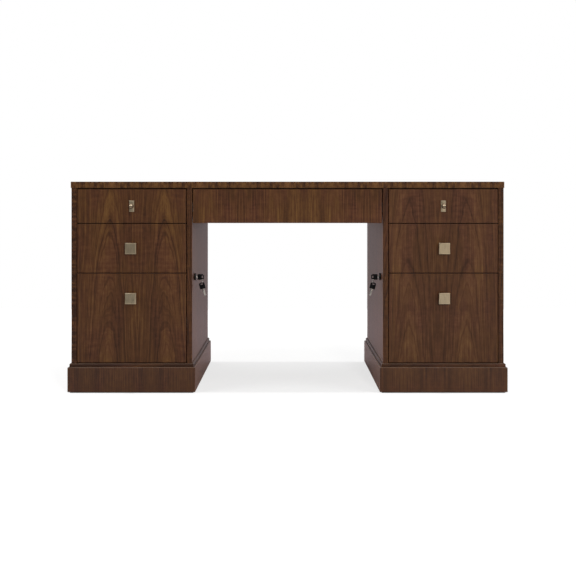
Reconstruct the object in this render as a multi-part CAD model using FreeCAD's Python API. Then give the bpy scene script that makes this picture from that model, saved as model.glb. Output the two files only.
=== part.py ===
import FreeCAD, Part
import math
import os
from FreeCAD import Vector

# Driving dimensions, in millimetres

# Whole desk: width and depth over the plinths, height from the floor
desk_width = 1600.0
desk_depth = 762.0
desk_height = 768.0
pedestal_width = 440.0

# Top
top_thickness = 23.0
top_overhang = 2.0
lipping_width = 12.0

# Plinths, their mouldings and glides
glide_height = 3.0
glide_radius = 8.0
glide_inset = 45.0
plinth_height = 89.5
plinth_projection = 12.0
plinth_seat = 7.0
plinth_round = 3.0
moulding_height = 13.0
moulding_projection = 6.0
moulding_round = 4.0

# Carcass boards
panel_thickness = 19.0
back_thickness = 16.0
back_inset = 3.0
rail_thickness = 18.0
rail_width = 50.0
rail_setback = 3.0
apron_thickness = 19.0
edge_ease = 1.0

# Drawer fronts
front_thickness = 20.0
top_front_height = 123.0
middle_front_height = 178.0
front_gap = 3.0
side_gap = 2.5
centre_gap = 3.0
top_reveal = 5.0

# Drawer boxes
box_wall = 13.0
box_floor = 6.0
floor_rise = 9.0
groove_depth = 6.0
box_clearance = 6.5
box_headroom = 15.0
centre_box_rise = 22.0
box_tail = 10.0
dovetail_pitch = 27.0
dovetail_pin = 5.0
dovetail_slope = 1 / 6

# Drawer slides
slide_gap = 13.0
slide_wall = 1.5
slide_play = 0.35
slide_height = 35.0
file_slide_height = 46.0
slide_setback = 4.0
pedestal_slide_length = 500.0
file_slide_length = 550.0
centre_slide_length = 450.0

# Hanging-file rails
file_rail_spacing = 311.0
file_rail_thickness = 3.0
file_rail_height = 16.0

# Square knobs
knob_size = 40.0
knob_head = 9.0
knob_projection = 30.0
knob_rim = 4.0
knob_recess = 1.0
knob_chamfer = 1.2
knob_stem_radius = 7.0
file_knob_drop = 89.0

# Ball knobs and their backplates
ball_radius = 9.2
ball_projection = 28.0
ball_stem_radius = 4.5
plate_width = 18.0
plate_height = 41.0
plate_thickness = 2.5

# Knob screws
screw_radius = 2.0
screw_play = 0.2
screw_bite = 8.0
screw_head_radius = 4.0
screw_head_height = 2.4

# Cam locks
lock_setback = 95.0
lock_drop = 18.0
rosette_radius = 13.0
rosette_thickness = 4.0
barrel_radius = 9.5
barrel_play = 0.15
nut_radius = 12.5
nut_thickness = 4.0
plug_radius = 6.0
plug_play = 0.05
plug_stand = 0.5
cam_reach = 18.0
cam_half_width = 6.0
cam_thickness = 2.5
cam_play = 0.3
cam_clearance = 1.5
cam_screw_radius = 1.8
cam_screw_length = 7.0
striker_thickness = 2.5
striker_foot = 16.0
striker_margin = 1.0

# Keys
blade_length = 27.0
blade_width = 7.0
blade_thickness = 1.9
keyway_play = 0.2
bitting_depth = 1.6
bitting_pitch = 4.0
bitting_cuts = 4
key_neck = 7.0
key_tang = 9.0
bow_length = 24.0
bow_width = 21.0
bow_thickness = 2.8
bow_round = 7.0
key_slot_length = 9.0
key_slot_width = 4.0
key_slot_margin = 4.0
spare_tilt = 15.0

# Key rings
ring_radius = 11.0
ring_wire_radius = 0.9
ring_play = 0.3

# Levels worked out from the sizes above
plinth_top = glide_height + plinth_height
bay_bottom = plinth_top + moulding_height
top_underside = desk_height - top_thickness
top_rail_bottom = top_underside - rail_thickness
top_front_top = top_underside - top_reveal
top_front_bottom = top_front_top - top_front_height
middle_front_top = top_front_bottom - front_gap
middle_front_bottom = middle_front_top - middle_front_height
file_front_top = middle_front_bottom - front_gap
file_front_bottom = bay_bottom + front_gap
upper_rail_middle = top_front_bottom - front_gap / 2
lower_rail_middle = middle_front_bottom - front_gap / 2
lock_level = file_front_top - lock_drop

# Plan: the origin is on the floor, in the middle of everything that stands over it
body_width = desk_width - 2 * plinth_projection
body_depth = desk_depth - 2 * plinth_projection
kneehole_width = body_width - 2 * pedestal_width
bay_width = pedestal_width - 2 * panel_thickness
pedestal_middle = (kneehole_width + pedestal_width) / 2
front_reach = max(knob_projection, ball_projection, plinth_projection)
front_y = front_reach - (body_depth + front_reach + plinth_projection) / 2
back_y = front_y + body_depth
back_panel_y = back_y - back_inset - back_thickness
box_front_y = front_y + front_thickness
rail_front_y = box_front_y + rail_setback
slide_front_y = box_front_y + slide_setback
lock_y = front_y + lock_setback

# The two pedestals: name, and the side of the middle that each stands on
pedestals = (("left", -1), ("right", 1))


class Drawer:
    def __init__(self, name, middle, opening, gap, front, box, slide_length, member_height):
        self.name = name
        self.middle = middle
        self.opening = opening
        self.front_width = opening - 2 * gap
        self.front_bottom, self.front_top = front
        self.box_bottom, self.box_top = box
        self.slide_length = slide_length
        self.slide_half = member_height / 2
        self.slide_middle = (self.box_bottom + self.box_top) / 2
        self.box_left = middle - opening / 2 + slide_gap
        self.box_right = middle + opening / 2 - slide_gap
        self.box_back_y = slide_front_y + slide_length + box_tail
        self.knob_level = (self.front_bottom + self.front_top) / 2
        self.full_extension = False


def pedestal_drawers(name, side):
    middle = side * pedestal_middle
    rail_half = rail_thickness / 2
    top_box = (upper_rail_middle + rail_half + box_clearance, top_rail_bottom - box_headroom)
    middle_box = (lower_rail_middle + rail_half + box_clearance,
                  upper_rail_middle - rail_half - box_headroom)
    file_box = (bay_bottom + box_clearance, lock_level - cam_reach - cam_clearance)
    top = Drawer(name + "_top", middle, bay_width, side_gap, (top_front_bottom, top_front_top),
                 top_box, pedestal_slide_length, slide_height)
    mid = Drawer(name + "_middle", middle, bay_width, side_gap, (middle_front_bottom, middle_front_top),
                 middle_box, pedestal_slide_length, slide_height)
    file = Drawer(name + "_file", middle, bay_width, side_gap, (file_front_bottom, file_front_top),
                  file_box, file_slide_length, file_slide_height)
    file.knob_level = file_front_top - file_knob_drop
    file.full_extension = True
    return [top, mid, file]


def centre_drawer():
    box = (top_front_bottom + centre_box_rise, top_rail_bottom - box_headroom)
    return Drawer("centre", 0.0, kneehole_width, centre_gap, (top_front_bottom, top_front_top),
                  box, centre_slide_length, slide_height)


# Small building helpers

def block(x0, y0, z0, x1, y1, z1):
    return Part.makeBox(x1 - x0, y1 - y0, z1 - z0, Vector(x0, y0, z0))


def prism(points, path):
    return Part.Face(Part.makePolygon(points + points[:1])).extrude(path)


def rod(radius, start, end):
    along = end - start
    return Part.makeCylinder(radius, along.Length, start, along)


def single(shape):
    return shape.Solids[0]


def eased_board(x0, y0, z0, x1, y1, z1):
    board = block(x0, y0, z0, x1, y1, z1)
    radius = min(edge_ease, 0.4 * min(x1 - x0, y1 - y0, z1 - z0))
    return single(board.makeFillet(radius, board.Edges))


def mitred_boards(rect, inner, outer, z0, z1, top_round, bottom_round):
    # four boards round a rectangle, between two offsets of it, outer long edges rounded
    x0, y0, x1, y1 = rect
    corners = ((x0, y0, -1, -1), (x1, y0, 1, -1), (x1, y1, 1, 1), (x0, y1, -1, 1))
    boards = []
    for i in range(4):
        plan = []
        for corner, offset in ((i, inner), (i, outer), (i + 1, outer), (i + 1, inner)):
            x, y, out_x, out_y = corners[corner % 4]
            plan.append(Vector(x + out_x * offset, y + out_y * offset, z0))
        board = prism(plan, Vector(0, 0, z1 - z0))
        outer_middle = (plan[1] + plan[2]) * 0.5
        for radius, level in ((top_round, z1), (bottom_round, z0)):
            if radius:
                limited = min(radius, 0.8 * (outer - inner), 0.45 * (z1 - z0))
                spot = Vector(outer_middle.x, outer_middle.y, level)
                edges = [e for e in board.Edges if e.CenterOfMass.distanceToPoint(spot) < 1e-6]
                board = single(board.makeFillet(limited, edges))
        boards.append(board)
    return boards


# Carcass

def pedestal_rect(side):
    middle = side * pedestal_middle
    return (middle - pedestal_width / 2, front_y, middle + pedestal_width / 2, back_y)


def desk_top():
    x = body_width / 2 + top_overhang - lipping_width
    y0 = front_y - top_overhang + lipping_width
    y1 = back_y + top_overhang - lipping_width
    return block(-x, y0, top_underside, x, y1, desk_height)


def top_edge_lipping():
    x = body_width / 2 + top_overhang
    rect = (-x, front_y - top_overhang, x, back_y + top_overhang)
    return mitred_boards(rect, -lipping_width, 0, top_underside, desk_height, edge_ease, edge_ease)


def outer_side(side):
    outside = side * body_width / 2
    inside = outside - side * panel_thickness
    return eased_board(min(outside, inside), front_y, plinth_top,
                       max(outside, inside), back_y, top_underside)


def inner_side(side):
    inside = side * kneehole_width / 2
    outside = inside + side * panel_thickness
    panel = eased_board(min(inside, outside), front_y, plinth_top,
                        max(inside, outside), back_y, top_underside)
    hole = rod(barrel_radius + barrel_play, Vector(inside, lock_y, lock_level),
               Vector(outside, lock_y, lock_level))
    return single(panel.cut(hole))


def bay_sides(side):
    middle = side * pedestal_middle
    return middle - bay_width / 2, middle + bay_width / 2


def back_panel(side):
    x0, x1 = bay_sides(side)
    return eased_board(x0, back_panel_y, plinth_top, x1, back_panel_y + back_thickness, top_underside)


def bottom_board(side):
    x0, x1 = bay_sides(side)
    return block(x0, front_y, plinth_top, x1, back_panel_y, bay_bottom)


def plinth(side):
    return mitred_boards(pedestal_rect(side), -plinth_seat, plinth_projection,
                         glide_height, plinth_top, plinth_round, 0)


def plinth_moulding(side):
    return mitred_boards(pedestal_rect(side), 0, moulding_projection,
                         plinth_top, bay_bottom, moulding_round, 0)


def carcass_rails():
    rails = []
    for _, side in pedestals:
        x0, x1 = bay_sides(side)
        rear_y = back_panel_y - rail_width
        for y, z in ((rail_front_y, top_rail_bottom), (rear_y, top_rail_bottom),
                     (rail_front_y, upper_rail_middle - rail_thickness / 2),
                     (rail_front_y, lower_rail_middle - rail_thickness / 2)):
            rails.append(block(x0, y, z, x1, y + rail_width, z + rail_thickness))
    x = kneehole_width / 2
    rails.append(block(-x, rail_front_y, top_rail_bottom, x, rail_front_y + rail_width, top_underside))
    return rails


def rear_apron():
    x = kneehole_width / 2
    y1 = back_y - back_inset
    return eased_board(-x, y1 - apron_thickness, top_front_bottom, x, y1, top_underside)


def floor_glides():
    glides = []
    board_middle = (plinth_projection - plinth_seat) / 2
    for _, side in pedestals:
        x0, y0, x1, y1 = pedestal_rect(side)
        for x in (x0 - board_middle, x1 + board_middle):
            for y in (y0 + glide_inset, y1 - glide_inset):
                glides.append(rod(glide_radius, Vector(x, y, 0), Vector(x, y, glide_height)))
    return glides


# Drawer slides: distances run from the carcass wall towards the drawer box

def channel(drawer, hand, web, tip, half_height):
    # a C-shaped member, its web at the first distance, its flanges reaching to the second
    wall_x = drawer.middle - hand * drawer.opening / 2
    inner_web = web + math.copysign(slide_wall, tip - web)
    inner_half = half_height - slide_wall
    outline = ((web, -half_height), (tip, -half_height), (tip, -inner_half), (inner_web, -inner_half),
               (inner_web, inner_half), (tip, inner_half), (tip, half_height), (web, half_height))
    points = [Vector(wall_x + hand * u, slide_front_y, drawer.slide_middle + z) for u, z in outline]
    return prism(points, Vector(0, drawer.slide_length, 0))


def cabinet_members(drawer):
    tip = slide_gap - slide_wall
    return [channel(drawer, hand, 0, tip, drawer.slide_half) for hand in (1, -1)]


def carrier_members(drawer):
    web = slide_wall + slide_play
    tip = slide_gap - slide_wall
    half = drawer.slide_half - slide_wall - slide_play
    return [channel(drawer, hand, web, tip, half) for hand in (1, -1)]


def drawer_members(drawer):
    nested = 2 if drawer.full_extension else 1
    tip = nested * (slide_wall + slide_play)
    half = drawer.slide_half - nested * (slide_wall + slide_play)
    return [channel(drawer, hand, slide_gap, tip, half) for hand in (1, -1)]


# Drawers

def knob_axis(drawer, y):
    return Vector(drawer.middle, y, drawer.knob_level)


def screw_hole(drawer, y0, y1):
    return rod(screw_radius + screw_play, knob_axis(drawer, y0), knob_axis(drawer, y1))


def drawer_front(drawer, has_knob):
    x = drawer.front_width / 2
    front = eased_board(drawer.middle - x, front_y, drawer.front_bottom,
                        drawer.middle + x, box_front_y, drawer.front_top)
    if has_knob:
        front = single(front.cut(screw_hole(drawer, front_y, box_front_y)))
    return front


def tails(drawer, x0, x1, root_y, end_y):
    # dovetail tails on one end of a drawer side, wider at the end than at the root
    height = drawer.box_top - drawer.box_bottom
    count = max(2, round(height / dovetail_pitch))
    pitch = height / count
    end_half = (pitch - dovetail_pin) / 2
    root_half = end_half - dovetail_slope * abs(end_y - root_y)
    shapes = []
    for i in range(count):
        z = drawer.box_bottom + (i + 0.5) * pitch
        outline = ((root_y, z - root_half), (end_y, z - end_half), (end_y, z + end_half), (root_y, z + root_half))
        shapes.append(prism([Vector(x0, y, level) for y, level in outline], Vector(x1 - x0, 0, 0)))
    return shapes


def drawer_box(drawer, has_knob):
    x0, x1 = drawer.box_left, drawer.box_right
    y0, y1 = box_front_y, drawer.box_back_y
    z0, z1 = drawer.box_bottom, drawer.box_top
    inset = box_wall - groove_depth
    floor_z = z0 + floor_rise
    floor = block(x0 + inset, y0 + inset, floor_z, x1 - inset, y1 - inset, floor_z + box_floor)
    inner_front = block(x0, y0, z0, x1, y0 + box_wall, z1)
    back = block(x0, y1 - box_wall, z0, x1, y1, z1)
    sides = []
    for left, right in ((x0, x0 + box_wall), (x1 - box_wall, x1)):
        front_tails = tails(drawer, left, right, y0 + box_wall, y0)
        back_tails = tails(drawer, left, right, y1 - box_wall, y1)
        board = block(left, y0 + box_wall, z0, right, y1 - box_wall, z1)
        sides.append(single(board.multiFuse(front_tails + back_tails).removeSplitter().cut(floor)))
        inner_front = inner_front.cut(front_tails)
        back = back.cut(back_tails)
    if has_knob:
        inner_front = inner_front.cut(screw_hole(drawer, y0, y0 + box_wall))
    return [single(inner_front.cut(floor)), single(back.cut(floor)), floor] + sides


def knob_screw(drawer, tip_y):
    inside_y = box_front_y + box_wall
    shank = rod(screw_radius, knob_axis(drawer, tip_y), knob_axis(drawer, inside_y))
    head = rod(screw_head_radius, knob_axis(drawer, inside_y), knob_axis(drawer, inside_y + screw_head_height))
    return single(shank.fuse(head).removeSplitter())


def square_knob(drawer):
    half = knob_size / 2
    face_y = front_y - knob_projection
    neck_y = face_y + knob_head
    x, z = drawer.middle, drawer.knob_level
    head = block(x - half, face_y, z - half, x + half, neck_y, z + half)
    face_edges = [e for e in head.Edges if abs(e.CenterOfMass.y - face_y) < 1e-6]
    head = head.makeChamfer(min(knob_chamfer, 0.4 * knob_head), face_edges)
    panel = half - knob_rim
    head = single(head.cut(block(x - panel, face_y, z - panel, x + panel, face_y + knob_recess, z + panel)))
    stem = rod(knob_stem_radius, knob_axis(drawer, neck_y), knob_axis(drawer, front_y))
    tip_y = front_y - screw_bite
    stem = single(stem.cut(screw_hole(drawer, tip_y, front_y)))
    return [head, stem, knob_screw(drawer, tip_y)]


def ball_knob(drawer):
    plate_y = front_y - plate_thickness
    x, z = drawer.middle, drawer.knob_level
    plate = eased_board(x - plate_width / 2, plate_y, z - plate_height / 2,
                        x + plate_width / 2, front_y, z + plate_height / 2)
    plate = single(plate.cut(screw_hole(drawer, plate_y, front_y)))
    centre_y = front_y - ball_projection + ball_radius
    neck_y = centre_y + math.sqrt(ball_radius ** 2 - ball_stem_radius ** 2)
    ball = Part.makeSphere(ball_radius, knob_axis(drawer, centre_y), Vector(0, -1, 0))
    ball = single(ball.cut(rod(ball_radius, knob_axis(drawer, neck_y), knob_axis(drawer, centre_y + ball_radius))))
    tip_y = plate_y - screw_bite
    stem = rod(ball_stem_radius, knob_axis(drawer, neck_y), knob_axis(drawer, plate_y))
    stem = single(stem.cut(screw_hole(drawer, tip_y, plate_y)))
    return [ball, stem, plate, knob_screw(drawer, tip_y)]


def file_rails(drawer):
    z0 = drawer.box_top - file_rail_height
    rails = []
    for side in (-1, 1):
        x = drawer.middle + side * (file_rail_spacing + file_rail_thickness) / 2 - file_rail_thickness / 2
        rails.append(block(x, box_front_y + box_wall, z0, x + file_rail_thickness,
                           drawer.box_back_y - box_wall, drawer.box_top))
    return rails


# Cam locks: distances run from the kneehole face of the panel into the kneehole

barrel_end = -(panel_thickness + slide_gap + box_wall / 2 - cam_thickness / 2 - cam_play)
cam_face = barrel_end - cam_play
plug_face = rosette_thickness + plug_stand


def lock_point(side, distance, up=0.0):
    return Vector(side * (kneehole_width / 2 - distance), lock_y, lock_level + up)


def lock_housing(side):
    rosette = rod(rosette_radius, lock_point(side, 0), lock_point(side, rosette_thickness))
    rim = [e for e in rosette.Edges if abs(e.CenterOfMass.x - lock_point(side, rosette_thickness).x) < 1e-6]
    rosette = rosette.makeFillet(0.35 * rosette_thickness, rim)
    barrel = rod(barrel_radius, lock_point(side, 0), lock_point(side, barrel_end))
    bore = rod(plug_radius + plug_play, lock_point(side, barrel_end), lock_point(side, rosette_thickness))
    return single(rosette.fuse(barrel).cut(bore))


def lock_nut(side):
    flat = -panel_thickness
    corners = []
    for i in range(6):
        turn = math.radians(60 * i)
        across = Vector(0, nut_radius * math.cos(turn), nut_radius * math.sin(turn))
        corners.append(lock_point(side, flat) + across)
    nut = prism(corners, lock_point(side, flat - nut_thickness) - lock_point(side, flat))
    bore = rod(barrel_radius + barrel_play, lock_point(side, flat - nut_thickness), lock_point(side, flat))
    return single(nut.cut(bore))


def lock_plug(side):
    plug = rod(plug_radius, lock_point(side, cam_face), lock_point(side, plug_face))
    keyway_y = blade_thickness / 2 + keyway_play
    keyway_z = blade_width / 2 + keyway_play
    near, far = sorted((lock_point(side, plug_face).x, lock_point(side, plug_face - blade_length - keyway_play).x))
    keyway = block(near, lock_y - keyway_y, lock_level - keyway_z, far, lock_y + keyway_y, lock_level + keyway_z)
    tapped = rod(cam_screw_radius, lock_point(side, cam_face), lock_point(side, cam_face + cam_screw_length))
    return single(plug.cut([keyway, tapped]))


def lock_cam(side):
    rear_face = cam_face - cam_thickness
    tip = Vector(0, cam_half_width - cam_reach, 0)
    ends = [rod(cam_half_width, lock_point(side, cam_face) + at, lock_point(side, rear_face) + at)
            for at in (Vector(0, 0, 0), tip)]
    near, far = sorted((lock_point(side, cam_face).x, lock_point(side, rear_face).x))
    bar = block(near, lock_y + tip.y, lock_level - cam_half_width, far, lock_y, lock_level + cam_half_width)
    hole = rod(cam_screw_radius, lock_point(side, cam_face), lock_point(side, rear_face))
    return single(bar.multiFuse(ends).removeSplitter().cut(hole))


def cam_screw(side):
    rear_face = cam_face - cam_thickness
    head = rod(2 * cam_screw_radius, lock_point(side, rear_face - cam_screw_radius), lock_point(side, rear_face))
    shank = rod(cam_screw_radius, lock_point(side, rear_face), lock_point(side, cam_face + cam_screw_length))
    return single(head.fuse(shank).removeSplitter())


def lock_striker(side, drawer):
    # an angle on the drawer side; the cam swings down in front of it
    wall = drawer.box_right if side < 0 else drawer.box_left
    x0, x1 = sorted((wall + side * striker_margin, wall + side * (box_wall - striker_margin)))
    y0 = lock_y + cam_half_width + cam_play
    top = lock_level - cam_half_width - cam_clearance
    outline = ((y0, drawer.box_top), (y0 + striker_foot, drawer.box_top),
               (y0 + striker_foot, drawer.box_top + striker_thickness),
               (y0 + striker_thickness, drawer.box_top + striker_thickness),
               (y0 + striker_thickness, top), (y0, top))
    return prism([Vector(x0, y, z) for y, z in outline], Vector(x1 - x0, 0, 0))


# Keys, along X: zero is where the key stops against the plug, the blade lies on the minus side

slot_middle = key_neck + bow_length - key_slot_margin - key_slot_width / 2


def key_blade():
    half = blade_width / 2
    outline = [(-blade_length + half, half), (-blade_length, 0), (-blade_length + half, -half)]
    for i in range(bitting_cuts):
        middle = -blade_length + half + (i + 1) * bitting_pitch
        outline += [(middle - bitting_depth, -half), (middle, bitting_depth - half), (middle + bitting_depth, -half)]
    outline += [(key_neck + key_tang, -half), (key_neck + key_tang, half)]
    points = [Vector(x, -blade_thickness / 2, z) for x, z in outline]
    return prism(points, Vector(0, blade_thickness, 0))


def key_bow(blade):
    x0, x1 = key_neck, key_neck + bow_length
    y, z = bow_thickness / 2, bow_width / 2
    bow = block(x0, -y, -z, x1, y, z)
    corners = [e for e in bow.Edges if abs(e.CenterOfMass.x - x1) < 1e-6 and abs(e.CenterOfMass.y) < 1e-6]
    bow = bow.makeFillet(min(bow_round, 0.45 * bow_width), corners)
    slot_half = (key_slot_length - key_slot_width) / 2
    cuts = [block(slot_middle - key_slot_width / 2, -y, -slot_half, slot_middle + key_slot_width / 2, y, slot_half)]
    for end in (-slot_half, slot_half):
        cuts.append(rod(key_slot_width / 2, Vector(slot_middle, -y, end), Vector(slot_middle, y, end)))
    return single(bow.cut(cuts + [blade]))


def key_solids(placement):
    blade = key_blade()
    return [solid.transformed(placement.toMatrix()) for solid in (blade, key_bow(blade))]


def key_in_lock(side):
    about_z = FreeCAD.Rotation(Vector(0, 0, 1), 0 if side < 0 else 180)
    return key_solids(FreeCAD.Placement(lock_point(side, plug_face), about_z))


def ring_middle(side):
    drop = key_slot_length / 2 - ring_wire_radius - ring_play + ring_radius
    return lock_point(side, plug_face + slot_middle, -drop)


def key_ring(side):
    return Part.makeTorus(ring_radius, ring_wire_radius, ring_middle(side), Vector(1, 0, 0))


def spare_key(side):
    # hangs on the lowest point of the ring, blade down and tilted away from the panel
    hanging = FreeCAD.Rotation(Vector(0, 1, 0), -90 + side * spare_tilt)
    carried = Vector(slot_middle + key_slot_width / 2 - ring_wire_radius - ring_play, 0, 0)
    wire = ring_middle(side) - Vector(0, 0, ring_radius)
    return key_solids(FreeCAD.Placement(wire - hanging.multVec(carried), hanging))


# Whole desk

def drawer_nodes(drawer, has_knob):
    label = drawer.name + "_drawer"
    nodes = {label + "_front": [drawer_front(drawer, has_knob)],
             label + "_box": drawer_box(drawer, has_knob),
             label + "_slides": drawer_members(drawer)}
    if drawer.full_extension:
        nodes[drawer.name + "_slide_carriers"] = carrier_members(drawer)
        nodes[drawer.name + "_rails"] = file_rails(drawer)
    return nodes


def pedestal_nodes(name, side):
    top, middle, file = pedestal_drawers(name, side)
    nodes = {name + "_outer_side": [outer_side(side)],
             name + "_inner_side": [inner_side(side)],
             name + "_back_panel": [back_panel(side)],
             name + "_bottom_board": [bottom_board(side)],
             name + "_plinth": plinth(side),
             name + "_plinth_moulding": plinth_moulding(side),
             name + "_top_knob": ball_knob(top),
             name + "_middle_knob": square_knob(middle),
             name + "_file_knob": square_knob(file),
             name + "_lock_plug": [lock_plug(side), lock_cam(side), cam_screw(side)],
             name + "_lock_striker": [lock_striker(side, file)],
             name + "_key": key_in_lock(side),
             name + "_key_ring": [key_ring(side)],
             name + "_spare_key": spare_key(side)}
    for drawer in (top, middle, file):
        nodes.update(drawer_nodes(drawer, True))
    return nodes


def desk_nodes():
    centre = centre_drawer()
    drawers = [centre]
    nodes = {"desk_top": [desk_top()],
             "top_edge_lipping": top_edge_lipping(),
             "carcass_rails": carcass_rails(),
             "rear_apron": [rear_apron()],
             "floor_glides": floor_glides()}
    nodes.update(drawer_nodes(centre, False))
    for name, side in pedestals:
        nodes.update(pedestal_nodes(name, side))
        drawers += pedestal_drawers(name, side)
    nodes["cabinet_slides"] = [member for drawer in drawers for member in cabinet_members(drawer)]
    nodes["lock_housings"] = [make(side) for _, side in pedestals for make in (lock_housing, lock_nut)]
    return nodes


def main():
    os.makedirs("parts", exist_ok=True)
    for node, solids in desk_nodes().items():
        shape = solids[0] if len(solids) == 1 else Part.makeCompound(solids)
        shape.exportStep("parts/" + node + ".step")


if __name__ == "__main__":
    main()
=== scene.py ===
import bmesh
import bpy
import math
from mathutils import Matrix, Vector


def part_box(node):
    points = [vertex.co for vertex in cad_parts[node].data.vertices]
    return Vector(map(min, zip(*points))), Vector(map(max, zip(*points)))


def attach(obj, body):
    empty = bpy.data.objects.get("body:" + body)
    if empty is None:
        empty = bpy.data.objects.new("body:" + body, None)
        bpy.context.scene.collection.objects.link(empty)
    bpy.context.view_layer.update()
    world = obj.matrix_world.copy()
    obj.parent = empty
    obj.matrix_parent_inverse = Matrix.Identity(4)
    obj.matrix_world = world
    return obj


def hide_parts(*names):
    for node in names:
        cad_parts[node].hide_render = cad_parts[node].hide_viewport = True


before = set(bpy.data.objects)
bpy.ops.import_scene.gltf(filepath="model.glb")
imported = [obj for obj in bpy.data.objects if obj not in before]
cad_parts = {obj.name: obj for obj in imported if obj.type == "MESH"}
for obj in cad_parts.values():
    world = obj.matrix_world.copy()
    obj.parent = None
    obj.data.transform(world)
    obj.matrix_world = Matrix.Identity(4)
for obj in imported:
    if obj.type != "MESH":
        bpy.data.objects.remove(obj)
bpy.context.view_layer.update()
scene = bpy.context.scene
scene.view_settings.view_transform = "Standard"
sides = {"left": -1, "right": 1}
mid = 0.5  # the middle of a noise's range
turnedFrom = 0.5  # how much a normal points one way before its face counts as facing there


def span(node):  # the middle and the half size of a CAD node's box
    low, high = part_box(node)
    return (low + high) / 2, (high - low) / 2


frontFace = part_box("centre_drawer_front")[0].y
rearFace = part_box("rear_apron")[1].y


class Wire:  # a node's output that can stand in Python maths
    def __init__(self, net, socket):
        self.net, self.socket = net, socket

    def __add__(self, other):
        return self.net.maths("ADD", self, other)

    __radd__ = __add__

    def __sub__(self, other):
        return self.net.maths("SUBTRACT", self, other)

    def __rsub__(self, other):
        return self.net.maths("SUBTRACT", other, self)

    def __mul__(self, other):
        return self.net.maths("MULTIPLY", self, other)

    __rmul__ = __mul__

    def __truediv__(self, other):
        return self.net.maths("DIVIDE", self, other)

    def __rtruediv__(self, other):
        return self.net.maths("DIVIDE", other, self)

    def __abs__(self):
        return self.net.maths("ABSOLUTE", self)

    def __lt__(self, other):  # 1 where it is less, else 0
        return self.net.maths("LESS_THAN", self, other)

    def __gt__(self, other):
        return self.net.maths("GREATER_THAN", self, other)


class Net:  # the node tree of a material or of the world
    def __init__(self, owner):
        owner.use_nodes = True
        self.owner, self.tree = owner, owner.node_tree
        self.tree.nodes.clear()

    def add(self, kind, settings=None, sockets=None, out=0):
        node = self.tree.nodes.new(kind)
        for name, value in (settings or {}).items():
            if name == "stops":
                points = node.color_ramp.elements
                points.remove(points[1])
                points[0].position, points[0].color = value[0][0], (*value[0][1], 1)
                for place, colour in value[1:]:
                    points.new(place).color = (*colour, 1)
            else:
                setattr(node, name, value)
        for name, value in (sockets or {}).items():
            if isinstance(value, Wire):
                self.tree.links.new(value.socket, node.inputs[name])
            else:
                node.inputs[name].default_value = value
        return Wire(self, node.outputs[out]) if len(node.outputs) else node

    def maths(self, kind, first, second=0.0, clamped=False):
        return self.add("ShaderNodeMath", {"operation": kind, "use_clamp": clamped}, {0: first, 1: second})

    def part(self, spot, way):  # how far a spot lies along a way
        return self.add("ShaderNodeVectorMath", {"operation": "DOT_PRODUCT"}, {0: spot, 1: way}, "Value")

    def split(self, spot):
        return [self.part(spot, way) for way in ((1, 0, 0), (0, 1, 0), (0, 0, 1))]

    def vector(self, x, y, z):
        return self.add("ShaderNodeCombineXYZ", None, {0: x, 1: y, 2: z})

    def noise(self, spot, scale, detail=1.0, rough=0.5):
        return self.add("ShaderNodeTexNoise", None,
                        {"Vector": spot, "Scale": scale, "Detail": detail, "Roughness": rough})

    def lineNoise(self, place, scale, detail=2.0, rough=0.5):
        return self.add("ShaderNodeTexNoise", {"noise_dimensions": "1D"},
                        {"W": place, "Scale": scale, "Detail": detail, "Roughness": rough})

    def over(self, value, floor, gain):  # 0 below the floor, rising to 1
        return self.maths("MULTIPLY", value - floor, gain, True)

    def ramp(self, value, places, colours):
        return self.add("ShaderNodeValToRGB", {"stops": list(zip(places, colours))}, {"Fac": value})

    def tint(self, share, first, second, kind="MIX"):
        first, second = (c if isinstance(c, Wire) else (*c, 1) for c in (first, second))
        return self.add("ShaderNodeMix", {"data_type": "RGBA", "blend_type": kind},
                        {0: share, 6: first, 7: second}, 2)

    def bump(self, height, strength, depth):
        return self.add("ShaderNodeBump", None, {"Height": height, "Strength": strength, "Distance": depth})

    def close(self, sockets):  # the shader and the material's output
        shader = self.add("ShaderNodeBsdfPrincipled", None, sockets)
        self.add("ShaderNodeOutputMaterial", None, {"Surface": shader})
        return self.owner


# studio; an edge is where a patch of light or a mask begins and how fast it rises

black, white = (0, 0, 0), (1, 1, 1)
cameraLook = {"spot": (0.0, -4.076, 0.6701), "lens": 63.7, "shiftX": 0.0008, "shiftY": -0.138}
lampLook = {
    "keySoftbox": {"spot": (4.6, -2.6, 1.8), "aim": (0.0, -0.3, 0.4), "size": 2.0, "watts": 24},
    "fillSoftbox": {"spot": (-4.6, -2.6, 1.8), "aim": (0.0, -0.3, 0.4), "size": 2.0, "watts": 44},
    "frontBox": {"spot": (0.9, -4.5, 1.35), "aim": (0.0, -0.36, 0.45), "size": 0.4, "watts": 92},
    "rightTopBox": {"spot": (2.6, -1.7, 3.3), "aim": (0.3, 0.0, 0.4), "size": 1.6, "watts": 34},
    "leftTopBox": {"spot": (-2.6, -1.7, 3.3), "aim": (-0.3, 0.0, 0.4), "size": 1.6, "watts": 30},
}
sunLook = {"strength": 1.15, "spread": 2.5}
roomLook = {
    "frontAmbient": 0.23, "backAmbient": 1.0, "frontGloss": 0.20, "backGloss": 0.61,
    "backEdge": (-0.35, 1.4), "backTint": (1.0, 0.86, 0.88),
    "window": (0.25, -0.965, -0.07), "windowEdge": (0.945, 25), "windowLight": 0.92,
    "windowTint": (1.10, 1.0, 0.91),
    "skylight": (0.50, -0.50, 0.71), "skylightEdge": (0.85, 12), "skylightLight": 4.0,
}
floorLook = {
    "half": 2.7, "bounce": 0.60, "seen": 0.30, "gloss": 0.50,
    "kneeGloss": (0.62, 0.50, 0.52), "kneeSheen": 0.05,
    "lift": 0.683, "farEdge": (1.1, 1.2), "nearEdge": (0.4, 2), "underInset": (0.007, 0.001),
}


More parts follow.
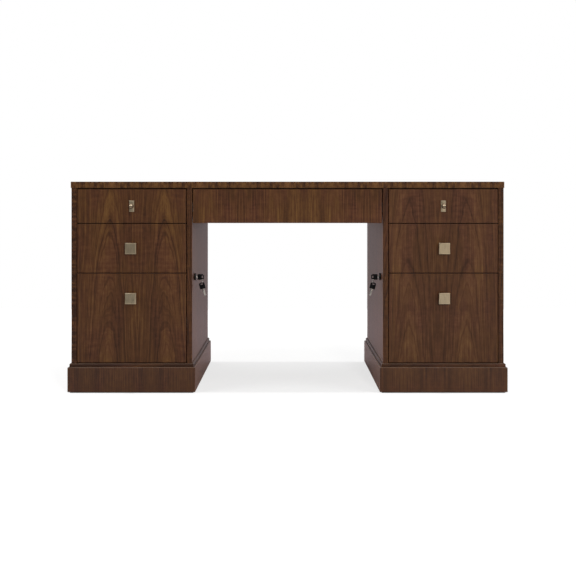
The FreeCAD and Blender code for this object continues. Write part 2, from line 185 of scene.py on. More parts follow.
def setCamera():
    data = bpy.data.cameras.new("photoCamera")
    data.lens, data.shift_x, data.shift_y = cameraLook["lens"], cameraLook["shiftX"], cameraLook["shiftY"]
    camera = bpy.data.objects.new("photoCamera", data)
    camera.location = cameraLook["spot"]
    camera.rotation_euler = (math.radians(90), 0, 0)
    scene.collection.objects.link(camera)
    scene.camera = camera


def setLamps():
    for name, look in lampLook.items():
        data = bpy.data.lights.new(name, "AREA")
        data.shape, data.size, data.energy = "SQUARE", look["size"], look["watts"]
        lamp = bpy.data.objects.new(name, data)
        lamp.location = look["spot"]
        aim = Vector(look["aim"]) - Vector(look["spot"])
        lamp.rotation_euler = aim.to_track_quat("-Z", "Y").to_euler()
        lamp.visible_glossy = False  # metal shows the room's own windows instead
        scene.collection.objects.link(lamp)


def setRoom():
    look = roomLook
    world = bpy.data.worlds.new("paleRoom")
    scene.world = world
    net = Net(world)
    seen = net.add("ShaderNodeLightPath", out="Is Camera Ray")
    shiny = net.maths("MAXIMUM", net.add("ShaderNodeLightPath", out="Is Glossy Ray"),
                      net.add("ShaderNodeLightPath", out="Is Transmission Ray"))
    way = net.add("ShaderNodeTexCoord", out="Generated")
    behind = net.over(net.part(way, (0, 1, 0)), *look["backEdge"])
    window = net.over(net.part(way, look["window"]), *look["windowEdge"])
    gloss = look["frontGloss"] + behind * (look["backGloss"] - look["frontGloss"])
    gloss = gloss + look["windowLight"] * window
    x, y, z = look["skylight"]
    for side in (-1, 1):
        skylight = net.over(net.part(way, (side * x, y, z)), *look["skylightEdge"])
        gloss = gloss + look["skylightLight"] * skylight
    ambient = look["frontAmbient"] + behind * (look["backAmbient"] - look["frontAmbient"])
    dim = ambient + shiny * (gloss - ambient)
    colour = net.tint(shiny * behind, white, look["backTint"])
    colour = net.tint(shiny * window, colour, look["windowTint"])
    light = net.add("ShaderNodeBackground", None, {"Color": colour, "Strength": dim + seen * (1 - dim)})
    net.add("ShaderNodeOutputWorld", None, {"Surface": light})


def floorPaint():
    look = floorLook
    net = Net(bpy.data.materials.new("paleFloor"))
    seen = net.add("ShaderNodeLightPath", out="Is Camera Ray")
    shiny = net.add("ShaderNodeLightPath", out="Is Glossy Ray")
    spot = net.add("ShaderNodeTexCoord", out="Object")
    x, y, z = net.split(spot)
    away = net.add("ShaderNodeVectorMath", {"operation": "LENGTH"}, {0: spot}, "Value")
    far = net.over(away, *look["farEdge"])
    near = net.over(0 - y, *look["nearEdge"])  # in front of the desk
    bare = net.tint(seen, [look["bounce"]] * 3, [look["seen"]] * 3)
    mirrored = net.tint(near, look["kneeGloss"], [look["gloss"]] * 3)
    paint = net.add("ShaderNodeBsdfDiffuse", None, {"Color": net.tint(shiny, bare, mirrored)})
    middle, half = span("right_plinth")
    insetX, insetY = look["underInset"]
    under = (abs(abs(x) - middle.x) < half.x - insetX) * (abs(y - middle.y) < half.y - insetY)
    glow = (seen + shiny * (1 - near) * look["kneeSheen"]) * (1 - under)  # none below the plinths
    glow = glow * (look["lift"] + far * (1 - look["lift"]))
    colour = net.tint(shiny, white, roomLook["backTint"])
    lift = net.add("ShaderNodeEmission", None, {"Color": net.tint(glow, black, colour)})
    both = net.add("ShaderNodeAddShader", None, {0: paint, 1: lift})
    net.add("ShaderNodeOutputMaterial", None, {"Surface": both})
    return net.owner


def setFloor():
    bm = bmesh.new()
    bmesh.ops.create_grid(bm, x_segments=2, y_segments=2, size=floorLook["half"])
    mesh = bpy.data.meshes.new("floor")
    bm.to_mesh(mesh)
    bm.free()
    mesh.materials.append(floorPaint())
    floor = bpy.data.objects.new("floor", mesh)
    scene.collection.objects.link(floor)
    data = bpy.data.lights.new("overheadSun", "SUN")  # straight down, for the even shadow on the floor
    data.energy, data.angle = sunLook["strength"], math.radians(sunLook["spread"])
    sun = bpy.data.objects.new("overheadSun", data)
    sun.visible_glossy = False
    scene.collection.objects.link(sun)
    lit = bpy.data.collections.new("litBySun")
    lit.objects.link(floor)
    sun.light_linking.receiver_collection = lit


setCamera()
setLamps()
setRoom()
setFloor()
print("studio set:", len(lampLook), "lamps, and a sun for the floor's shadow")


# walnut veneer

walnutLook = {
    "shadow": (0.019, 0.0068, 0.0024), "brown": (0.059, 0.0232, 0.0076), "gold": (0.120, 0.0565, 0.0165),
    "stops": (0.15, 0.5, 0.88), "rose": (1.02, 0.95, 1.20), "roseEdge": (0.42, 4),
    "spread": 0.042, "taper": 0.11, "drift": 0.040, "sway": 0.012,
    "band": 0.016, "bandDetail": 4, "bandRough": 0.72,
    "linesPerBand": 3, "lineShift": 5, "lineEdge": (0.56, 6),
    "figure": 0.75, "lines": 0.22, "tone": 0.45, "streak": 0.45, "fibre": 0.40, "mottle": 0.32,
    "ripple": 0.38, "rippleEdge": (0.45, 4), "knots": 0.12, "knotEdge": (0.60, 5),
    "flecks": 0.5, "fleckEdge": (0.6, 6), "lift": 0.04, "gloss": 0.2,
    "roughness": 0.42, "fibreRough": 0.16, "fleckRough": 0.12,
    "relief": 0.15, "reliefFibre": 0.35, "reliefDepth": 0.0003,
    "edgeDark": 0.0, "edgeBars": 0.0,
    # painted light and a mauve painted sheen on the faces in the kneehole
    "kneePaintedLight": 0.0, "kneePaintedTint": white, "kneeEnd": 0.5, "kneeTop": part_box("centre_drawer_front")[0].z,
    # the pale strip along a top edge is a painted highlight
    "paintedHighlight": (0.120, 0.0800, 0.0580), "highlightFrom": None, "highlightWide": 0.002,
    "highlightLeast": 0.35, "highlightMottle": 0.5,
}
leafNoise = {  # squeeze across and along the grain, shift of the seed, then scale, detail and roughness
    "drift": ((1, 0.3), 0, (8, 1)),
    "sway": ((1, 0.4), 3, (26, 2)),
    "tone": ((1, 0.1), 7, (14, 2)),
    "fibre": ((1, 0.012), 11, (620, 2, 0.6)),
    "streak": ((1, 0.03), 13, (190, 1)),
    "pore": ((1, 0.035), 17, (1500, 1)),
    "ripple": ((0.3, 1), 23, (90, 1)),
    "mottle": ((1, 0.45), 29, (70, 2)),
    "hue": ((1, 0.35), 31, (16, 2)),
    "knots": ((1, 0.6), 37, (20, 2)),
}


def upright(net, spot):  # grain up the piece, carried round its corners
    return net.part(spot, (1, 1, 0)), net.part(spot, (0, 0, 1))


def frontToBack(net, spot):
    return net.part(spot, (1, 0, 1)), net.part(spot, (0, 1, 0))


def sideToSide(net, spot):
    return net.part(spot, (0, 1, 1)), net.part(spot, (1, 0, 0))


def acrossStrip(middle, half):  # short grain across each strip of a mitred frame
    def grain(net, spot):
        x, y, z = net.split(spot)
        side = half.x - abs(x - middle.x) < half.y - abs(y - middle.y)  # 1 on the side strips
        return x + side * (y - x), z + y + side * (x - y)
    return grain


def alongStrip(middle, half):
    def grain(net, spot):
        return tuple(reversed(acrossStrip(middle, half)(net, spot)))
    return grain


def walnut(name, grain, seam, leaf, crown, seed, **own):
    look = {**walnutLook, **own}
    net = Net(bpy.data.materials.new(name))
    spot = net.add("ShaderNodeTexCoord", out="Object")
    across, along = grain(net, spot)
    leafSpot = net.maths("PINGPONG", across - seam, leaf)  # mirrored at each joint of two leaves
    place = net.vector(leafSpot, along, 0)
    layer = {}
    for kind, (squeeze, shift, texture) in leafNoise.items():
        squeezed = net.add("ShaderNodeVectorMath", {"operation": "MULTIPLY_ADD"},
                           {0: place, 1: (*squeeze, 0), 2: (0, 0, seed + shift)})
        layer[kind] = net.noise(squeezed, *texture)
    off = leafSpot - crown + (layer["drift"] - mid) * look["drift"]
    rings = off * off / (2 * look["spread"]) + along * look["taper"] + (layer["sway"] - mid) * look["sway"]
    bands = net.lineNoise(rings + seed, 1 / look["band"], look["bandDetail"], look["bandRough"])
    lines = net.lineNoise(rings + (seed + look["lineShift"]), look["linesPerBand"] / look["band"])
    lines = net.over(lines, *look["lineEdge"])
    knots = net.over(layer["knots"], *look["knotEdge"])
    wavy = net.over(layer["hue"], *look["rippleEdge"])
    share = (bands - mid) * look["figure"] - lines * look["lines"] - knots * look["knots"]
    share = share + (layer["ripple"] - mid) * wavy * look["ripple"]
    for kind in ("tone", "streak", "fibre", "mottle"):
        share = share + (layer[kind] - mid) * look[kind]
    x, y, z = net.split(spot)
    if look["edgeDark"] or look["kneePaintedLight"]:
        facing = net.part(net.add("ShaderNodeTexCoord", out="Normal"), (0, -1, 0))
        edge = facing > turnedFrom  # the front edge of a panel
        share = share - edge * (look["edgeDark"] + (layer["ripple"] - mid) * look["edgeBars"])
    if look["kneePaintedLight"]:  # the faces in the kneehole get painted light and a mauve painted sheen
        knee = (abs(facing) < turnedFrom) * (abs(x) < look["kneeEnd"]) * (z < look["kneeTop"])
        share = share + knee * look["kneePaintedLight"]
    colours = look["shadow"], look["brown"], look["gold"]
    colour = net.ramp(share + (mid + look["lift"]), look["stops"], colours)
    colour = net.tint(net.over(layer["hue"], *look["roseEdge"]), colour, look["rose"], "MULTIPLY")
    # the mauve tint of the painted sheen on the kneehole faces
    if look["kneePaintedLight"]:
        colour = net.tint(knee, colour, look["kneePaintedTint"], "MULTIPLY")
    if look["highlightFrom"]:  # a painted highlight along the top edge, pale with a mottle
        paintedHighlight = net.over(z, look["highlightFrom"] - look["highlightWide"], 1 / look["highlightWide"])
        paintedHighlight = paintedHighlight * (look["highlightLeast"] + layer["mottle"] * look["highlightMottle"])
        colour = net.tint(paintedHighlight, colour, look["paintedHighlight"])
    fleck = net.over(layer["pore"], *look["fleckEdge"])
    colour = net.tint(fleck * look["flecks"], colour, look["shadow"])
    relief = net.bump(layer["fibre"] * look["reliefFibre"] - fleck, look["relief"], look["reliefDepth"])
    rough = look["roughness"] + (layer["fibre"] - mid) * look["fibreRough"] + fleck * look["fleckRough"]
    return net.close({"Base Color": colour, "Roughness": rough, "Specular IOR Level": look["gloss"],
                      "Normal": relief})


def coat(material, *nodes):
    for node in nodes:
        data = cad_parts[node].data
        data.materials.clear()
        data.materials.append(material)


frontLook = {  # the right pedestal's veneer is calmer and a little pinker
    "left": {"seed": 1.8, "lift": 0.0, "figure": 0.82, "lines": 0.26},
    "right": {"seed": 7.6, "lift": -0.010, "figure": 0.63, "lines": 0.16,
              "brown": (0.059, 0.0236, 0.0089), "gold": (0.118, 0.0565, 0.0195)},
}
outerBars = {"left": 1.5, "right": 0.8}  # how strongly the front edges of the outer sides are barred
seamShift = 0.020  # the fronts' book match lies this much off their middle
# the highlight entries paint a pale highlight along the plinth's and the moulding's top edges
veneerLook = {
    "front": {"leaf": 0.226, "crown": 0.106},
    "back": {"leaf": 0.201, "crown": 0.1, "seed": 51},
    # the plinth's kneehole faces get painted light and a mauve painted sheen
    "plinth": {"seam": 0.4, "leaf": 0.117, "crown": 0.3, "seed": 21, "taper": 0.02, "figure": 0.8,
               "tone": 0.7, "lift": -0.115, "gloss": 0.3, "kneePaintedLight": 0.52, "kneePaintedTint": (0.96, 0.95, 1.6),
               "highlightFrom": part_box("left_plinth")[1].z},
    # the moulding is set darker all over to take in the shadow line under the fronts: painted shade
    "moulding": {"seam": 0.0, "leaf": 0.4, "crown": 0.25, "seed": 31, "figure": 0.6, "lift": -0.2,
                 "rose": (1.0, 0.95, 1.4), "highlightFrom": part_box("left_plinth_moulding")[1].z},
    "outerSide": {"seam": 0.9, "leaf": 0.246, "crown": 0.11, "seed": 41, "edgeDark": 0.19},
    # the inner side's kneehole face gets painted light and a mauve painted sheen
    "innerSide": {"seam": 0.9, "leaf": 0.246, "crown": 0.11, "seed": 41, "edgeDark": 0.17, "edgeBars": 0.5,
                  "kneePaintedLight": 0.12, "kneePaintedTint": (1.0, 0.92, 1.2)},
    "centreFront": {"seam": -0.30, "leaf": 0.23, "crown": 0.4, "seed": 61, "taper": 0.03, "tone": 1.2,
                    "figure": 0.8, "lines": 0.10, "band": 0.024, "streak": 0.7, "rose": (1.04, 0.92, 1.30),
                    "lift": -0.025},
    "apron": {"seam": rearFace, "leaf": 0.116, "crown": 0.058, "seed": 66},
    "top": {"seam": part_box("desk_top")[1].z, "leaf": 0.2226, "crown": 0.11, "seed": 71},
    "lipping": {"seam": 0.0, "leaf": 0.16, "crown": 0.4, "seed": 81, "taper": 0.02, "figure": 1.3,
                "tone": 1.2, "fibre": 1.1, "mottle": 1.7, "lift": 0.115},
    "carcass": {"seam": 0.0, "leaf": 0.3, "crown": 0.15, "seed": 91, "figure": 0.6},
}


def forSide(piece, side, **own):  # one pedestal's copy of a veneer, with its seam mirrored
    look = {**veneerLook[piece], **own}
    look["seed"] += side
    look["seam"] *= side
    return look


for name, side in sides.items():
    pedestal = span(name + "_plinth")[0].x
    seam = pedestal - side * seamShift + frontFace
    coat(walnut(name + "FrontVeneer", upright, seam, **veneerLook["front"], **frontLook[name]),
         *(f"{name}_{level}_drawer_front" for level in ("top", "middle", "file")))
    coat(walnut(name + "PlinthVeneer", upright, **forSide("plinth", side)), name + "_plinth")
    strips = alongStrip(*span(name + "_plinth_moulding"))
    coat(walnut(name + "MouldingWood", strips, **forSide("moulding", side)), name + "_plinth_moulding")
    outer = forSide("outerSide", side, edgeBars=outerBars[name])
    coat(walnut(name + "OuterSideVeneer", upright, **outer), name + "_outer_side")
    coat(walnut(name + "InnerSideVeneer", upright, **forSide("innerSide", side)), name + "_inner_side")
    back = forSide("back", side, seam=side * (pedestal + rearFace))
    coat(walnut(name + "BackVeneer", upright, **back), name + "_back_panel")
coat(walnut("centreFrontVeneer", upright, **veneerLook["centreFront"]), "centre_drawer_front")
coat(walnut("apronVeneer", upright, **veneerLook["apron"]), "rear_apron")
coat(walnut("topVeneer", frontToBack, **veneerLook["top"]), "desk_top")
strips = acrossStrip(*span("top_edge_lipping"))
coat(walnut("edgeVeneer", strips, **veneerLook["lipping"]), "top_edge_lipping")
coat(walnut("carcassWood", sideToSide, **veneerLook["carcass"]),
     "carcass_rails", "left_bottom_board", "right_bottom_board")
print("walnut laid")


# drawer wood

boxLook = {
    "pale": (0.50, 0.345, 0.195), "warm": (0.405, 0.255, 0.128), "line": (0.27, 0.155, 0.07),
    "stops": (0.12, 0.45, 0.85), "endStops": (0.3, 0.75), "wall": 0.013, "pin": 0.005, "slope": 1 / 6,
    "pitch": 0.027, "leastTails": 2,
    "sway": 0.03, "swayStretch": 0.2, "swayNoise": (18, 2), "lean": 0.02,
    "band": 0.006, "bandNoise": (3, 0.6), "figure": 0.9,
    "fibre": 0.4, "fibreStretch": 0.015, "fibreShift": 5, "fibreNoise": (700, 2, 0.6), "fibreRough": 0.15,
    "speckleNoise": (1800, 2, 0.7), "roughness": 0.45, "relief": 0.1, "reliefDepth": 0.0003,
    "seedStep": 1.7,
}


def boxWood(name, low, high, seed):  # lacquered pale wood, with the end grain of the dovetail pins
    look = boxLook
    net = Net(bpy.data.materials.new(name))
    spot = net.add("ShaderNodeTexCoord", out="Object")
    facing = net.add("ShaderNodeTexCoord", out="Normal")
    x, y, z = net.split(spot)
    sideways = abs(net.part(facing, (1, 0, 0))) > turnedFrom
    level = abs(net.part(facing, (0, 0, 1))) > turnedFrom
    overSide = abs(x - (low.x + high.x) / 2) > (high.x - low.x) / 2 - look["wall"]
    lengthways = net.maths("MAXIMUM", sideways, level * overSide)  # 1 where the grain runs front to back
    along = x + lengthways * (y - x)
    across = z + level * (y + lengthways * (x - y))
    height = high.z - low.z
    pitch = height / max(look["leastTails"], round(height / look["pitch"]))
    toEnd = net.maths("MINIMUM", y - low.y, high.y - y)
    fromTail = abs(net.maths("FRACT", (z - low.z) / pitch) - mid) * pitch
    pins = fromTail + toEnd * look["slope"] > (pitch - look["pin"]) / 2
    ends = sideways * pins * (toEnd < look["wall"])
    sway = net.noise(net.vector(across, along * look["swayStretch"], seed), *look["swayNoise"])
    bands = across + (sway - mid) * look["sway"] + along * look["lean"] + seed
    bands = net.lineNoise(bands, 1 / look["band"], *look["bandNoise"])
    fibre = net.vector(across, along * look["fibreStretch"], seed + look["fibreShift"])
    fibre = net.noise(fibre, *look["fibreNoise"])
    share = mid + (bands - mid) * look["figure"] + (fibre - mid) * look["fibre"]
    colour = net.ramp(share, look["stops"], (look["line"], look["warm"], look["pale"]))
    speckle = net.noise(spot, *look["speckleNoise"])
    endColour = net.ramp(speckle, look["endStops"], (look["line"], look["warm"]))
    colour = net.tint(ends, colour, endColour)
    rough = look["roughness"] + (fibre - mid) * look["fibreRough"]
    relief = net.bump(fibre + ends * speckle, look["relief"], look["reliefDepth"])
    return net.close({"Base Color": colour, "Roughness": rough, "Normal": relief})


for drawer in ("left_top", "left_middle", "left_file", "right_top", "right_middle", "right_file", "centre"):
    node = drawer + "_drawer_box"
    coat(boxWood(drawer + "BoxWood", *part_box(node), len(drawer) * boxLook["seedStep"]), node)
print("drawer boxes finished")


# metals and plastics

metalLook = {
    "brushedBronze": {"colour": (0.42, 0.345, 0.235), "worn": (0.31, 0.262, 0.185), "rough": 0.30,
                      "stretch": 0.03, "scale": 1600, "broad": 190, "relief": 0.06},
    "polishedBronze": {"colour": (0.30, 0.240, 0.170), "worn": (0.23, 0.180, 0.12), "rough": 0.09,
                       "stretch": 0.4, "scale": 300, "broad": 90, "relief": 0.01},
    "zincSteel": {"colour": (0.46, 0.47, 0.48), "worn": (0.37, 0.37, 0.37), "rough": 0.34,
                  "stretch": 1.0, "scale": 160, "broad": 90, "relief": 0.03},
    "nickel": {"colour": (0.43, 0.41, 0.385), "worn": (0.34, 0.325, 0.30), "rough": 0.24,
               "stretch": 0.2, "scale": 900, "broad": 90, "relief": 0.03},
}
brushLook = {"detail": 2, "grit": 0.6, "cloudStretch": 0.15, "cloud": 0.7, "brush": 0.3,
             "wearEdge": (0.3, 2.4), "roughBase": 0.7, "roughBrush": 0.4, "roughCloud": 0.2,
             "depth": 0.0004}
rimRubAndHighlight = (1.20, 1.18, 1.16)  # a knob's raised rim, painted brighter: partly rubbed wear, partly a painted highlight


def metal(name):
    look, wear = metalLook[name], brushLook
    net = Net(bpy.data.materials.new(name))
    x, y, z = net.split(net.add("ShaderNodeTexCoord", out="Object"))
    brush = net.noise(net.vector(x, y, z * look["stretch"]), look["scale"], wear["detail"], wear["grit"])
    cloudSpot = net.vector(x, y, z * max(wear["cloudStretch"], look["stretch"]))
    cloud = net.noise(cloudSpot, look["broad"], wear["detail"])
    worn = net.over(cloud * wear["cloud"] + brush * wear["brush"], *wear["wearEdge"])
    colour = net.tint(worn, look["worn"], look["colour"])
    rim = net.add("ShaderNodeAttribute", {"attribute_name": "rim"}, out="Fac")
    # the rim is painted brighter: partly rubbed wear, partly a painted highlight
    colour = net.tint(rim, colour, rimRubAndHighlight, "MULTIPLY")
    rough = look["rough"] * (wear["roughBase"] + brush * wear["roughBrush"] + cloud * wear["roughCloud"])
    return net.close({"Base Color": colour, "Metallic": 1.0, "Roughness": rough,
                      "Normal": net.bump(brush, look["relief"], wear["depth"])})


plasticLook = {
    "lockBlack": {"colour": (0.0010, 0.0010, 0.0011), "dust": (0.003, 0.0029, 0.0028), "rough": 0.42,
                  "scale": 500},
    "keyPlastic": {"colour": (0.0014, 0.0015, 0.0018), "dust": (0.004, 0.004, 0.0042), "rough": 0.46,
                   "scale": 900},
    "glidePlastic": {"colour": (0.045, 0.040, 0.036), "dust": (0.075, 0.068, 0.060), "rough": 0.55,
                     "scale": 400},
}
mouldedLook = {"grain": (3, 0.6), "cloud": (70, 3), "dustEdge": (0.42, 4), "roughGrain": 0.2,
               "roughCloud": 0.15, "gloss": 0.12, "relief": 0.12, "depth": 0.0002}


def plastic(name):
    look, mould = plasticLook[name], mouldedLook
    net = Net(bpy.data.materials.new(name))
    spot = net.add("ShaderNodeTexCoord", out="Object")
    grain = net.noise(spot, look["scale"], *mould["grain"])
    cloud = net.noise(spot, *mould["cloud"])
    colour = net.tint(net.over(cloud, *mould["dustEdge"]), look["colour"], look["dust"])
    rough = look["rough"] + (grain - mid) * mould["roughGrain"] + (cloud - mid) * mould["roughCloud"]
    return net.close({"Base Color": colour, "Roughness": rough, "Specular IOR Level": mould["gloss"],
                      "Normal": net.bump(grain, mould["relief"], mould["depth"])})


brushedBronze, polishedBronze, zincSteel, nickel = (metal(name) for name in metalLook)
lockBlack, keyPlastic, glidePlastic = (plastic(name) for name in plasticLook)
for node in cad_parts:
    if node.endswith(("_slides", "_carriers", "_rails", "_striker")) and node != "carcass_rails":
        coat(zincSteel, node)
    elif node.endswith("_lock_plug"):
        coat(nickel, node)
coat(lockBlack, "lock_housings")
coat(glidePlastic, "floor_glides")
print("metals and plastics mixed")


# knobs, keys and rings

meshLook = {"weld": 1e-6, "sharpAngle": 32}


def newPiece(name, bm, material, body, slot, *stoodFor):
    bmesh.ops.remove_doubles(bm, verts=bm.verts, dist=meshLook["weld"])
    bmesh.ops.recalc_face_normals(bm, faces=bm.faces)
    mesh = bpy.data.meshes.new(name)
    bm.to_mesh(mesh)
    bm.free()
    mesh.materials.append(material)
    mesh.shade_smooth()
    mesh.set_sharp_from_angle(angle=math.radians(meshLook["sharpAngle"]))
    piece = bpy.data.objects.new(name, mesh)
    scene.collection.objects.link(piece)
    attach(piece, body)
    if stoodFor:
        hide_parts(*stoodFor)


def softEdges(bm, edges, width, segments=3):
    bmesh.ops.bevel(bm, geom=edges, offset=width, offset_type="OFFSET", segments=segments, profile=0.5,
                    affect="EDGES", material=-1, clamp_overlap=True)


def slab(bm, low, high):  # a plain block to work on
    low, high = Vector(low), Vector(high)
    place = Matrix.Translation((low + high) / 2) @ Matrix.Diagonal((*(high - low), 1))
    bmesh.ops.create_cube(bm, size=1, matrix=place)


def cut(bm, spot, way):  # a flat cut right through, which leaves both sides
    everything = bm.verts[:] + bm.edges[:] + bm.faces[:]
    made = bmesh.ops.bisect_plane(bm, geom=everything, plane_co=spot, plane_no=way)
    return [g for g in made["geom_cut"] if isinstance(g, bmesh.types.BMVert)]


def turned(bm, profile, foot, axis, out, steps=40):  # a profile of (radius, distance along the axis), spun
    foot, axis, out = Vector(foot), Vector(axis), Vector(out)
    verts = [bm.verts.new(foot + axis * reach + out * radius) for radius, reach in profile]
    edges = [bm.edges.new(pair) for pair in zip(verts, verts[1:])]
    bmesh.ops.spin(bm, geom=verts + edges, cent=foot, axis=axis, angle=2 * math.pi, steps=steps,
                   use_merge=True)


screwLook = {"radius": 0.004, "height": 0.0024, "steps": 24,
             "profile": ((0, 0), (1, 0), (1, 0.45), (0.9, 0.78), (0.62, 1), (0.5, 1), (0.42, 0.45),
                         (0, 0.4))}  # shares of the radius and the height
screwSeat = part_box("left_top_drawer_box")[0].y + boxLook["wall"]


def screwHead(bm, x, z):  # pan head on the inside of the drawer's inner front
    look = screwLook
    profile = [(radius * look["radius"], reach * look["height"]) for radius, reach in look["profile"]]
    turned(bm, profile, (x, screwSeat, z), (0, 1, 0), (1, 0, 0), look["steps"])


knobLook = {"head": 0.009, "rim": 0.0040, "step": 0.0004, "recess": 0.0010, "rimShare": 0.9,
            "round": 0.0007, "neck": 0.0070, "waist": 0.94, "waistFrom": 0.3, "waistTo": 0.6,
            "foot": 0.0079, "footHeight": 0.0022, "footFlare": 0.7}


def squareKnob(drawer):
    look = knobLook
    node = drawer + "_knob"
    low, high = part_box(node)
    x, z = (low.x + high.x) / 2, (low.z + high.z) / 2
    bm = bmesh.new()
    rim = bm.verts.layers.float.new("rim")
    slab(bm, low, (high.x, low.y + look["head"], high.z))
    softEdges(bm, bm.edges[:], look["round"])
    face = min(bm.faces, key=lambda f: f.calc_center_median().y)
    bmesh.ops.inset_region(bm, faces=[face], thickness=look["rim"] - look["round"])
    bmesh.ops.inset_region(bm, faces=[face], thickness=look["step"])
    bmesh.ops.translate(bm, verts=face.verts, vec=(0, look["recess"], 0))
    # marks the rim that the metal paints brighter, partly as a painted highlight
    for vert in bm.verts:
        vert[rim] = float(vert.co.y < low.y + look["rimShare"] * look["recess"])
    back = low.y + look["head"]
    long = frontFace - back
    waist = look["waist"] * look["neck"]
    flare = look["footFlare"] * look["footHeight"]
    profile = [(0, 0), (look["neck"], 0),
               (waist, look["waistFrom"] * long), (waist, look["waistTo"] * long),
               (look["neck"], long - look["footHeight"]), (look["foot"], long - flare),
               (look["foot"], long), (0, long)]
    turned(bm, profile, (x, back, z), (0, 1, 0), (1, 0, 0))
    screwHead(bm, x, z)
    newPiece(drawer + "_squareKnob", bm, brushedBronze, drawer + "_drawer", "brushed_bronze", node)


ballLook = {"radius": 0.0092, "rings": 32, "segments": 48, "plateDepth": 0.0025, "plateRound": 0.0007,
            "plateWide": 0.018, "plateHigh": 0.041, "stem": 0.0045, "stemStart": 0.75,
            "stemProfile": ((0.9, 0.6), (1, 0.86), (1.45, 0.93), (1.45, 1), (0, 1))}


def ballKnob(drawer):
    look = ballLook
    node = drawer + "_knob"
    low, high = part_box(node)
    x, z = (low.x + high.x) / 2, (low.z + high.z) / 2
    plateFace = frontFace - look["plateDepth"]
    centre = low.y + look["radius"]
    bm = bmesh.new()
    slab(bm, (x - look["plateWide"] / 2, plateFace, z - look["plateHigh"] / 2),
         (x + look["plateWide"] / 2, frontFace, z + look["plateHigh"] / 2))
    softEdges(bm, bm.edges[:], look["plateRound"])
    screwHead(bm, x, z)
    newPiece(drawer + "_knobPlate", bm, brushedBronze, drawer + "_drawer", "brushed_bronze", node)
    bm = bmesh.new()
    place = Matrix.Translation((x, centre, z)) @ Matrix.Rotation(math.radians(90), 4, "X")
    bmesh.ops.create_uvsphere(bm, u_segments=look["segments"], v_segments=look["rings"],
                              radius=look["radius"], matrix=place)
    long = plateFace - centre
    start = look["stemStart"] * look["radius"]  # inside the ball
    profile = [(0, start), (look["stem"], start)]
    profile += [(radius * look["stem"], reach * long) for radius, reach in look["stemProfile"]]
    turned(bm, profile, (x, centre, z), (0, 1, 0), (1, 0, 0))
    newPiece(drawer + "_ballKnob", bm, polishedBronze, drawer + "_drawer", "polished_bronze")


keyLook = {
    "neck": 0.007, "bowLong": 0.024, "bowWide": 0.021, "bowThick": 0.0028, "bowRound": 0.0068,
    "heelRound": 0.0012, "bowDrop": 0.0007, "edgeRound": 0.0005,
    "slotLong": 0.009, "slotWide": 0.004, "slotMargin": 0.004, "slotRound": 0.0019,
    "bladeLong": 0.020, "bladeWide": 0.007, "bladeThick": 0.0019, "bladeRound": 0.0003,
    "tang": 0.009, "tip": 0.25, "cuts": 3, "cutPitch": 0.004, "cutDepth": 0.0016,
    "tilt": 15, "hangShift": 0.0024, "play": 0.0003,
    "ringRadius": 0.011, "wire": 0.0009, "wireSides": 10, "ringSteps": 120, "ringTurn": 700,
}
tiny, flatAngle, cornerAngle = 1e-5, 0.5, 60  # what counts as one place, flat and a corner on a key
lockMiddle = span("left_key")[0]  # for its Y and Z; the right lock mirrors the left one
panelFace = -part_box("left_inner_side")[1].x
plugFace = -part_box("left_lock_plug")[1].x


def throughEdges(bm, spotTest):  # a key's edges from face to face, at the spots that pass
    return [e for e in bm.edges if abs(e.verts[0].co.y - e.verts[1].co.y) > tiny
            and spotTest(e.verts[0].co)]


def keyBow(bm):  # lies along X, with zero at the plug's face
    look = keyLook
    heel, end = look["neck"], look["neck"] + look["bowLong"]
    slab(bm, (heel, -look["bowThick"] / 2, -look["bowWide"] / 2),
         (end, look["bowThick"] / 2, look["bowWide"] / 2))
    softEdges(bm, throughEdges(bm, lambda co: co.x > heel + tiny), look["bowRound"], segments=8)
    softEdges(bm, throughEdges(bm, lambda co: co.x < heel + tiny), look["heelRound"], segments=4)
    halfWide, halfLong = look["slotWide"] / 2, look["slotLong"] / 2
    middle = end - look["slotMargin"] - halfWide
    for x in (middle - halfWide, middle + halfWide):
        cut(bm, (x, 0, 0), (1, 0, 0))
    for z in (-halfLong, halfLong):
        cut(bm, (0, 0, z), (0, 0, 1))
    hole = [f for f in bm.faces if abs(f.normal.y) > turnedFrom
            and abs(f.calc_center_median().z) < halfWide / 2
            and abs(f.calc_center_median().x - middle) < halfWide / 2]
    rims = [e for f in hole for e in f.edges]
    bmesh.ops.delete(bm, geom=hole, context="FACES_ONLY")
    bmesh.ops.bridge_loops(bm, edges=rims)
    corners = throughEdges(bm, lambda co: abs(abs(co.z) - halfLong) < tiny
                           and abs(abs(co.x - middle) - halfWide) < tiny)
    softEdges(bm, corners, look["slotRound"], segments=5)
    bmesh.ops.dissolve_limit(bm, angle_limit=math.radians(flatAngle), verts=bm.verts, edges=bm.edges)
    sharp = [e for e in bm.edges if len(e.link_faces) == 2
             and e.calc_face_angle() > math.radians(cornerAngle)]
    softEdges(bm, sharp, look["edgeRound"], segments=2)
    bmesh.ops.translate(bm, verts=bm.verts, vec=(0, 0, -look["bowDrop"]))  # the blade is off its middle


def keyBlade(bm):
    look = keyLook
    half, long = look["bladeWide"] / 2, look["bladeLong"]
    slab(bm, (-long, -look["bladeThick"] / 2, -half),
         (look["neck"] + look["tang"], look["bladeThick"] / 2, half))
    along = (1, 0, 0)
    cut(bm, (half - long, 0, 0), along)
    for i in range(look["cuts"]):
        middle = half - long + (i + 1) * look["cutPitch"]
        cut(bm, (middle - look["cutDepth"], 0, 0), along)
        cut(bm, (middle + look["cutDepth"], 0, 0), along)
        for vert in cut(bm, (middle, 0, 0), along):
            if vert.co.z < 0:
                vert.co.z += look["cutDepth"]
    for vert in bm.verts:
        if vert.co.x < tiny - long:
            vert.co.z *= look["tip"]
    outer = [e for e in bm.edges if min(abs(v.co.z) for v in e.verts) > half - tiny
             and abs(e.verts[0].co.y - e.verts[1].co.y) < tiny]
    softEdges(bm, outer, look["bladeRound"], segments=2)


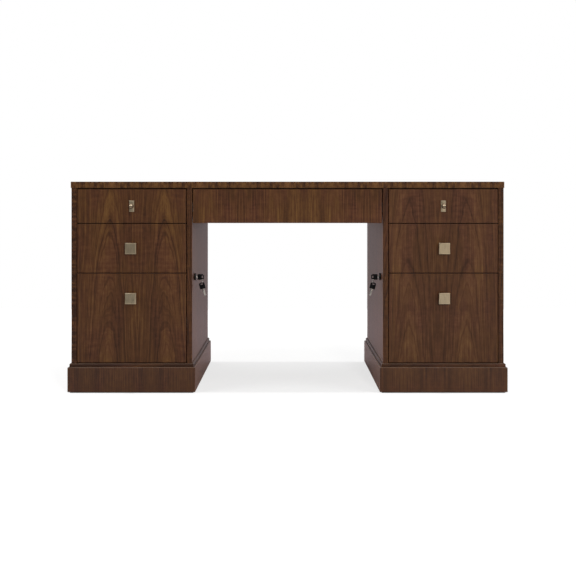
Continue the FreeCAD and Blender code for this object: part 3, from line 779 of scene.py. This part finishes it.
def keySpots(side):  # where the key in the lock and the one on the ring stand
    look = keyLook
    turn = Matrix.Rotation(0 if side < 0 else math.pi, 4, "Z")
    plug = Vector((side * plugFace, lockMiddle.y, lockMiddle.z))
    inLock = Matrix.Translation(plug) @ turn
    slotMiddle = look["neck"] + look["bowLong"] - look["slotMargin"] - look["slotWide"] / 2
    drop = look["slotLong"] / 2 - look["wire"] - look["play"] + look["ringRadius"]
    ring = plug + Vector((-side * slotMiddle, 0, -drop - look["bowDrop"]))
    hanging = Matrix.Rotation(math.radians(-90 + side * look["tilt"]), 4, "Y")
    if side < 0:
        hanging = hanging @ Matrix.Rotation(math.pi, 4, "X")  # the left one mirrors the right one
    slotEnd = slotMiddle + look["slotWide"] / 2 - look["wire"] - look["play"]
    carried = Vector((slotEnd, 0, look["hangShift"] - look["bowDrop"]))
    onRing = Matrix.Translation(ring - Vector((0, 0, look["ringRadius"])) - hanging @ carried) @ hanging
    return inLock, ring, onRing


def splitRing(bm, middle):  # two close turns of wire
    look = keyLook
    wire = look["wire"] / 2
    start = middle + Vector((-wire, 0, look["ringRadius"]))
    place = Matrix.Translation(start) @ Matrix.Rotation(math.radians(90), 4, "X")
    bmesh.ops.create_circle(bm, cap_ends=True, segments=look["wireSides"], radius=wire, matrix=place)
    bmesh.ops.spin(bm, geom=bm.verts[:] + bm.edges[:] + bm.faces[:], cent=middle, axis=(1, 0, 0),
                   dvec=(2 * wire / look["ringSteps"], 0, 0), angle=math.radians(look["ringTurn"]),
                   steps=look["ringSteps"], use_merge=False, use_duplicate=False)


lockRimLook = {"radius": 0.0132, "thick": 0.0060, "round": 0.0012, "roundShare": 0.3, "dish": 0.0078,
               "throat": 0.0062, "floor": 0.0042, "steps": 48}


def lockRim(name, side):  # raised black rim round the plug
    look = lockRimLook
    bm = bmesh.new()
    cutBack = look["roundShare"] * look["round"]
    radius, thick = look["radius"], look["thick"]
    profile = [(look["throat"], look["floor"]), (look["throat"], 0), (radius, 0),
               (radius, thick - look["round"]), (radius - cutBack, thick - cutBack),
               (radius - look["round"], thick), (look["dish"], thick), (look["throat"], look["floor"])]
    foot = (side * panelFace, lockMiddle.y, lockMiddle.z)
    turned(bm, profile, foot, (-side, 0, 0), (0, 0, 1), look["steps"])
    newPiece(name + "_lockRim", bm, lockBlack, "carcass", "black_lock")


for name, side in sides.items():
    lockRim(name, side)
    ballKnob(name + "_top")
    squareKnob(name + "_middle")
    squareKnob(name + "_file")
    inLock, ring, onRing = keySpots(side)
    for label, place, body in (("key", inLock, name + "_key"), ("spareKey", onRing, name + "_spare_key")):
        bow, blade = bmesh.new(), bmesh.new()
        keyBow(bow)
        keyBlade(blade)
        for bm in (bow, blade):
            bmesh.ops.transform(bm, matrix=place, verts=bm.verts)
        newPiece(f"{name}_{label}Bow", bow, keyPlastic, body, "key_plastic", body)
        newPiece(f"{name}_{label}Blade", blade, nickel, body, "nickel_steel")
    bm = bmesh.new()
    splitRing(bm, ring)
    newPiece(name + "_splitRing", bm, nickel, name + "_spare_key", "nickel_steel", name + "_key_ring")
print("knobs, keys and rings made")
